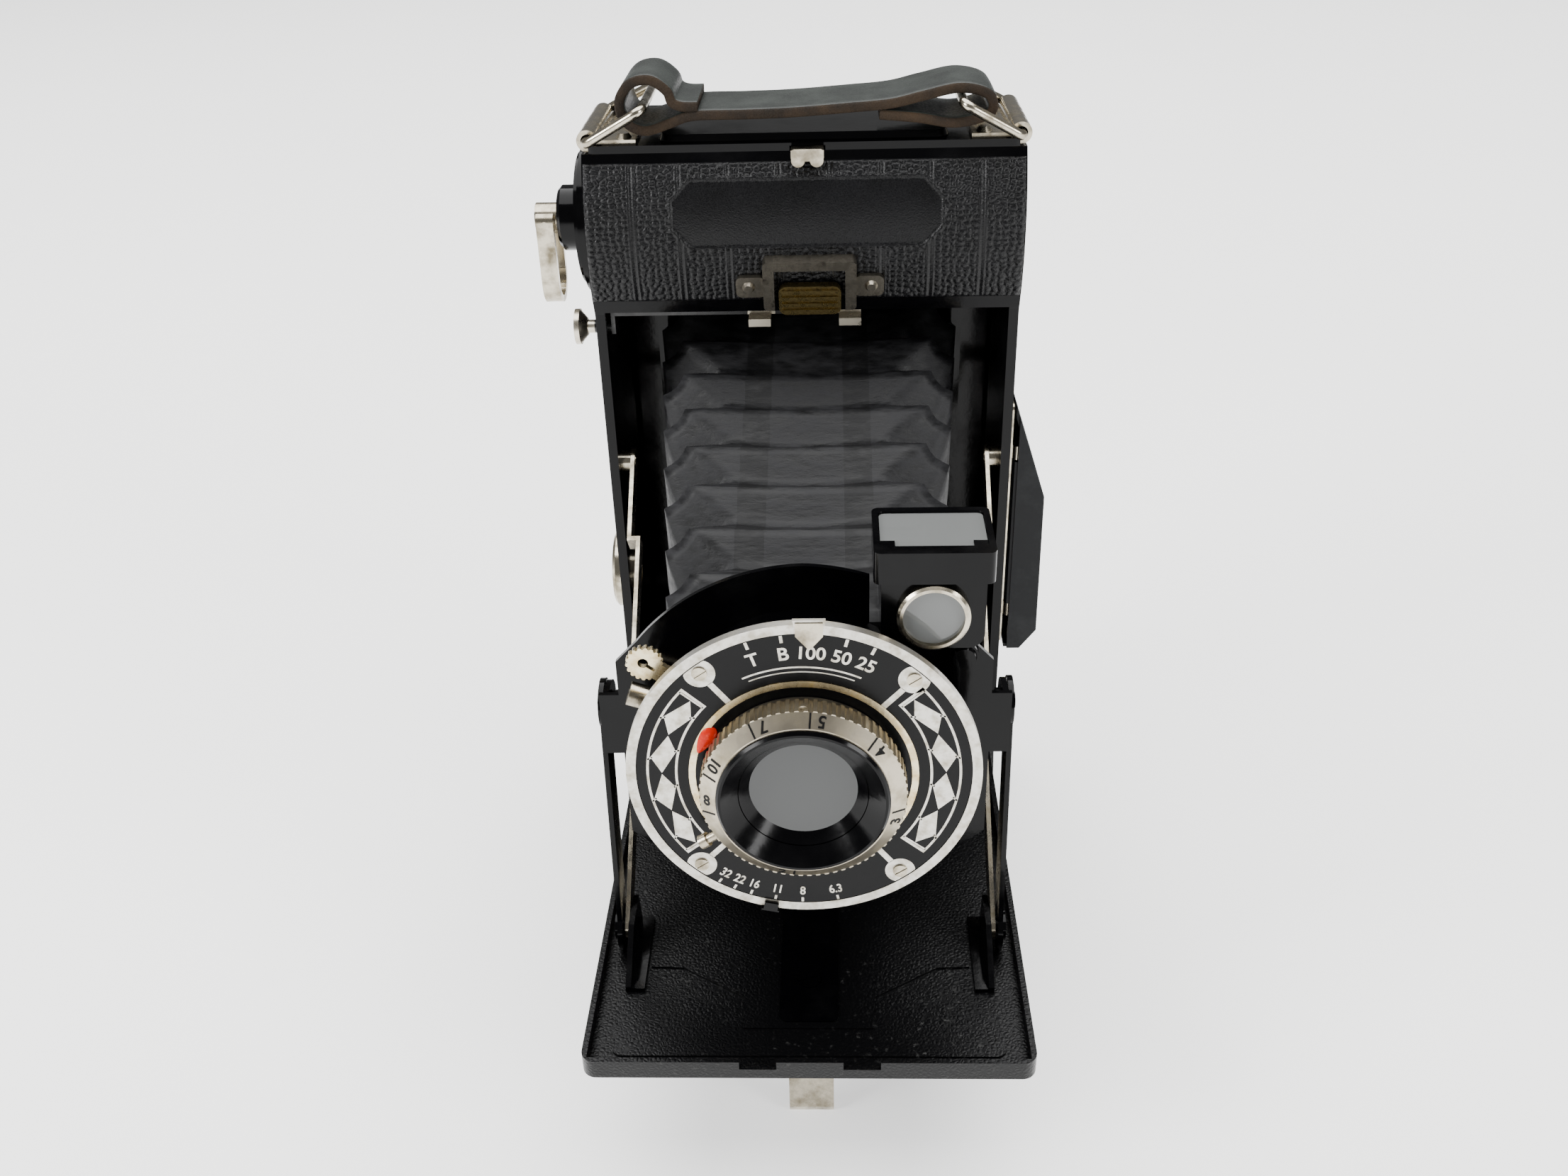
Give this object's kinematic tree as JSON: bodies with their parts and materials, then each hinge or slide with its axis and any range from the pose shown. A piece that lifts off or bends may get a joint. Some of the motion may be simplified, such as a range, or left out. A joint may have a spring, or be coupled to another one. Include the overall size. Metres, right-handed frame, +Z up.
{
  "type": "folding camera",
  "caption": "Self-erecting folding roll-film camera standing on its end, bed down, bellows out, leaf shutter and lens on a swinging standard, reflex finder and strap.",
  "frame": {"origin": "middle of the bed hinge line dropped onto the surface the camera stands on", "axes": "+X to the right of a viewer facing the lens, -Y the way the lens looks, +Z up"},
  "size_m": [0.1024, 0.1368, 0.1744],
  "materials": {
    "black_enamel": "gloss black baked enamel",
    "black_crackle": "worn crackle enamel",
    "leathercloth": "grained black leathercloth",
    "bellows_leather": "thin grained leather",
    "strap_leather": "worn dark leather",
    "nickel": "worn nickel plate",
    "steel": "bare steel",
    "brass": "worn brass",
    "face_black": "black enamel with silver lines",
    "silver_ring": "satin silver",
    "glass": "clear coated glass",
    "red_glass": "red glass",
    "mirror": "silvered",
    "spool_black": "matt black",
    "blade_black": "matt black"
  },
  "bodies": {
    "body": {"body_shell": "black_enamel", "film_gate_frame": "black_enamel", "top_plate": "black_enamel", "bottom_plate": "black_enamel", "front_leather": "leathercloth", "strap_lugs": "nickel", "latch_guard": "nickel", "tripod_socket": "nickel", "body_fittings": "steel", "bed_hinge": "nickel", "bellows": "bellows_leather", "finder_rear_leaf": "black_enamel"},
    "wire_left": {"wire_loop_left": "nickel"},
    "wire_right": {"wire_loop_right": "nickel"},
    "strap": {"strap": "strap_leather"},
    "thumb_catch": {"thumb_catch": "brass"},
    "bed_release": {"release_stud": "nickel"},
    "side_finder_leaf": {"finder_front_leaf": "black_crackle", "finder_window": "glass"},
    "winder": {"winding_shaft": "nickel", "take_up_spool": "spool_black"},
    "key_ring": {"key_ring": "nickel"},
    "supply_reel": {"supply_spool": "spool_black"},
    "roller_low": {"roller_low": "steel"},
    "roller_high": {"roller_high": "steel"},
    "back": {"back_door": "black_enamel", "back_leather": "leathercloth", "red_window": "red_glass", "pressure_plate": "steel"},
    "window_cover": {"window_cover": "nickel"},
    "back_latch": {"back_latch": "nickel"},
    "bed": {"bed_plate": "black_crackle", "bed_leather": "leathercloth", "bed_spine": "black_crackle", "arm_brackets": "nickel", "leg_mount": "nickel"},
    "leg": {"drop_leg": "nickel"},
    "arms": {"arm_left": "black_enamel", "arm_right": "black_enamel"},
    "standard": {"standard_plate": "black_enamel", "shutter_case": "black_enamel", "face_plate": "face_black", "shutter_fittings": "nickel", "shutter_blades": "blade_black", "rear_lens": "glass"},
    "speed_ring": {"speed_ring": "silver_ring"},
    "aperture_pointer": {"aperture_pointer": "black_enamel"},
    "release_lever": {"release_lever": "black_enamel"},
    "focusing_mount": {"focus_ring": "nickel", "front_cell": "black_enamel", "front_lens": "glass"},
    "reflex_finder": {"reflex_body": "black_enamel", "reflex_mirror": "mirror", "reflex_objective": "glass", "reflex_objective_ring": "nickel", "reflex_top_lens": "glass"},
    "stay_upper_left": {"stay_upper_left": "nickel"},
    "stay_upper_right": {"stay_upper_right": "nickel"},
    "stay_lower_left": {"stay_lower_left": "nickel"},
    "stay_lower_right": {"stay_lower_right": "nickel"}
  },
  "joints": [
    {"name": "bed_fold", "type": "hinge", "parent": "body", "child": "bed", "pos_m": [0, -0.0002, 0.0312], "axis": [-1, 0, 0], "range_deg": [0, 90], "deforming": ["bellows"]},
    {"name": "arm_swing", "type": "hinge", "parent": "bed", "child": "arms", "pos_m": [0, -0.0683, 0.0358], "axis": [-1, 0, 0], "range_deg": [0, 54]},
    {"name": "standard_tilt", "type": "hinge", "parent": "arms", "child": "standard", "pos_m": [0, -0.0634, 0.083], "axis": [-1, 0, 0], "range_deg": [-144, 0]},
    {"name": "stay_upper_left_swing", "type": "hinge", "parent": "body", "child": "stay_upper_left", "pos_m": [0, 0.005, 0.0965], "axis": [-1, 0, 0], "range_deg": [-53, 0]},
    {"name": "stay_upper_right_swing", "type": "hinge", "parent": "body", "child": "stay_upper_right", "pos_m": [0, 0.005, 0.0965], "axis": [-1, 0, 0], "range_deg": [-53, 0]},
    {"name": "stay_lower_left_swing", "type": "hinge", "parent": "bed", "child": "stay_lower_left", "pos_m": [0, -0.0683, 0.0358], "axis": [-1, 0, 0], "range_deg": [0, 40]},
    {"name": "stay_lower_right_swing", "type": "hinge", "parent": "bed", "child": "stay_lower_right", "pos_m": [0, -0.0683, 0.0358], "axis": [-1, 0, 0], "range_deg": [0, 40]},
    {"name": "leg_fold", "type": "hinge", "parent": "bed", "child": "leg", "pos_m": [0, -0.0795, 0.0279], "axis": [1, 0, 0], "range_deg": [0, 90]},
    {"name": "focus_turn", "type": "hinge", "parent": "standard", "child": "focusing_mount", "pos_m": [0, -0.084, 0.0829], "axis": [0, -1, 0], "range_deg": [-42, 245]},
    {"name": "speed_turn", "type": "hinge", "parent": "standard", "child": "speed_ring", "pos_m": [0, -0.084, 0.0829], "axis": [0, -1, 0], "range_deg": [-22, 22]},
    {"name": "aperture_turn", "type": "hinge", "parent": "standard", "child": "aperture_pointer", "pos_m": [0, -0.084, 0.0829], "axis": [0, -1, 0], "range_deg": [-21, 24]},
    {"name": "release_press", "type": "hinge", "parent": "standard", "child": "release_lever", "pos_m": [0, -0.084, 0.0829], "axis": [0, -1, 0], "range_deg": [0, 9]},
    {"name": "reflex_swivel", "type": "hinge", "parent": "standard", "child": "reflex_finder", "pos_m": [0.026, -0.07, 0.097], "axis": [0, -1, 0], "range_deg": [-90, 0]},
    {"name": "winding_turn", "type": "hinge", "parent": "body", "child": "winder", "pos_m": [0, 0.0142, 0.1453], "axis": [-1, 0, 0], "continuous": true},
    {"name": "key_ring_lift", "type": "hinge", "parent": "winder", "child": "key_ring", "pos_m": [-0.0509, 0.0142, 0.1453], "axis": [0, 1, 0], "range_deg": [0, 75]},
    {"name": "supply_reel_turn", "type": "hinge", "parent": "body", "child": "supply_reel", "pos_m": [0, 0.0142, 0.016], "axis": [-1, 0, 0], "continuous": true},
    {"name": "roller_low_turn", "type": "hinge", "parent": "body", "child": "roller_low", "pos_m": [0, 0.0269, 0.0266], "axis": [-1, 0, 0], "continuous": true},
    {"name": "roller_high_turn", "type": "hinge", "parent": "body", "child": "roller_high", "pos_m": [0, 0.0269, 0.134], "axis": [-1, 0, 0], "continuous": true},
    {"name": "back_open", "type": "hinge", "parent": "body", "child": "back", "pos_m": [0, 0.0314, 0.0047], "axis": [-1, 0, 0], "range_deg": [0, 88]},
    {"name": "window_cover_slide", "type": "slide", "parent": "back", "child": "window_cover", "axis": [0, 0, 1], "range_m": [0, 0.011]},
    {"name": "back_latch_slide", "type": "slide", "parent": "body", "child": "back_latch", "axis": [0, -1, 0], "range_m": [0, 0.0024]},
    {"name": "thumb_catch_slide", "type": "slide", "parent": "body", "child": "thumb_catch", "axis": [0, -0.2508, 0.968], "range_m": [0, 0.0018]},
    {"name": "bed_release_push", "type": "slide", "parent": "body", "child": "bed_release", "axis": [1, 0, 0], "range_m": [0, 0.0012]},
    {"name": "side_finder_open", "type": "hinge", "parent": "body", "child": "side_finder_leaf", "pos_m": [0.0429, 0.00465, 0.079], "axis": [0, 0, -1], "range_deg": [0, 78]},
    {"name": "strap_lift", "type": "slide", "parent": "body", "child": "strap", "axis": [0, 0, 1], "range_m": [0, 0.002]},
    {"name": "wire_left_swing", "type": "hinge", "parent": "body", "child": "wire_left", "pos_m": [-0.0399, 0.0143, 0.1627], "axis": [0, -1, 0], "range_deg": [0, 12]},
    {"name": "wire_right_swing", "type": "hinge", "parent": "body", "child": "wire_right", "pos_m": [0.0399, 0.0143, 0.1627], "axis": [0, 1, 0], "range_deg": [0, 12]}
  ],
  "couplings": [
    {"joint": "arm_swing", "follows": "bed_fold", "ratio": 0.59},
    {"joint": "standard_tilt", "follows": "bed_fold", "ratio": -1.59},
    {"joint": "stay_upper_left_swing", "follows": "bed_fold", "ratio": -0.568},
    {"joint": "stay_upper_right_swing", "follows": "bed_fold", "ratio": -0.568},
    {"joint": "stay_lower_left_swing", "follows": "bed_fold", "ratio": 0.432},
    {"joint": "stay_lower_right_swing", "follows": "bed_fold", "ratio": 0.432},
    {"joint": "wire_left_swing", "follows": "strap_lift", "rad_per_m": 90.9},
    {"joint": "wire_right_swing", "follows": "strap_lift", "rad_per_m": 90.9}
  ]
}
